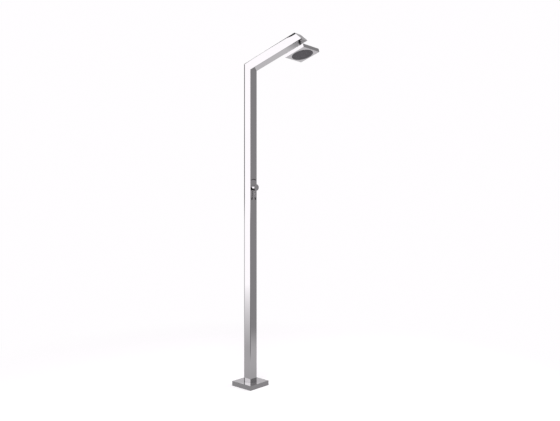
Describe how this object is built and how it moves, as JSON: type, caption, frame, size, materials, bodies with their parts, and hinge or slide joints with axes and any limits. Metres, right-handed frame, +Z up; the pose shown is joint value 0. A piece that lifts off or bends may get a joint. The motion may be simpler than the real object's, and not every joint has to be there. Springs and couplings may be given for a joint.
{
  "type": "outdoor shower",
  "caption": "Free-standing outdoor shower: square polished column on a covered foot, sloping arm, turning knob with a slim lever, and a square head on a ball joint.",
  "frame": {"origin": "on the column's axis at floor level, in the middle of the foot plate's underside", "axes": "+Z up along the column; the arm, the knob and the head point towards -Y; +X is to the right seen from the front"},
  "size_m": [0.169, 0.6001, 2.2245],
  "materials": {
    "polished_stainless": "polished",
    "polished_chrome": "polished",
    "plain_stainless": "satin",
    "brass": "satin",
    "black_rubber": "matte",
    "grey_silicone": "matte",
    "grey_plastic": "matte",
    "white_plastic": "satin",
    "white_ceramic": "satin",
    "steel_braid": "satin"
  },
  "bodies": {
    "column": {"arm_end_plate": "polished_stainless", "arm_tube": "polished_stainless", "ball_stud": "polished_chrome", "cartridge_body": "white_plastic", "cartridge_clamp_nut": "brass", "cold_supply_hose": "steel_braid", "column_tube": "polished_stainless", "filter_screen": "plain_stainless", "fixed_ceramic_disc": "white_ceramic", "foot_plate": "plain_stainless", "hot_supply_hose": "steel_braid", "mixer_body": "brass", "mixer_gasket": "black_rubber", "mixer_ring_nut": "brass", "neck_rosette": "polished_chrome", "neck_seal": "black_rubber", "outlet_elbow": "brass", "riser_ferrules": "plain_stainless", "riser_hose": "steel_braid", "riser_nuts": "brass", "riser_tails": "brass", "riser_washers": "black_rubber", "supply_ferrules": "plain_stainless", "supply_nuts": "brass", "supply_tails": "brass", "supply_washers": "black_rubber"},
    "base_cover": {"base_cover": "polished_stainless"},
    "handle": {"knob": "polished_chrome", "lever": "polished_chrome", "lever_cap": "black_rubber", "knob_grub_screw": "plain_stainless", "cartridge_stem": "brass", "turning_ceramic_disc": "white_ceramic"},
    "upper_seat": {"upper_ball_seat": "white_plastic"},
    "lower_seat": {"lower_ball_seat": "black_rubber"},
    "head": {"collar_nut": "polished_chrome", "head_housing": "polished_stainless", "inlet_o_ring": "black_rubber", "water_chamber": "grey_plastic", "chamber_o_ring": "black_rubber", "chamber_screws": "plain_stainless", "nozzle_plate": "grey_plastic", "nozzle_mat": "grey_silicone", "head_face_plate": "polished_stainless"}
  },
  "joints": [
    {"name": "cover_slide", "type": "slide", "parent": "column", "child": "base_cover", "axis": [0, 0, 1], "range_m": [0, 1.18]},
    {"name": "handle_turn", "type": "hinge", "parent": "column", "child": "handle", "pos_m": [0, -0.03, 1.297], "axis": [0, -1, 0], "range_deg": [0, 110]},
    {"name": "head_tilt", "type": "hinge", "parent": "column", "child": "upper_seat", "pos_m": [0, -0.43067, 2.13725], "axis": [1, 0, 0], "range_deg": [-12, 12]},
    {"name": "head_roll", "type": "hinge", "parent": "upper_seat", "child": "lower_seat", "pos_m": [0, -0.43067, 2.13725], "axis": [0, -0.9659, 0.2588], "range_deg": [-12, 12]},
    {"name": "head_spin", "type": "hinge", "parent": "lower_seat", "child": "head", "pos_m": [0, -0.43067, 2.13725], "axis": [0, 0.2588, 0.9659], "continuous": true}
  ]
}
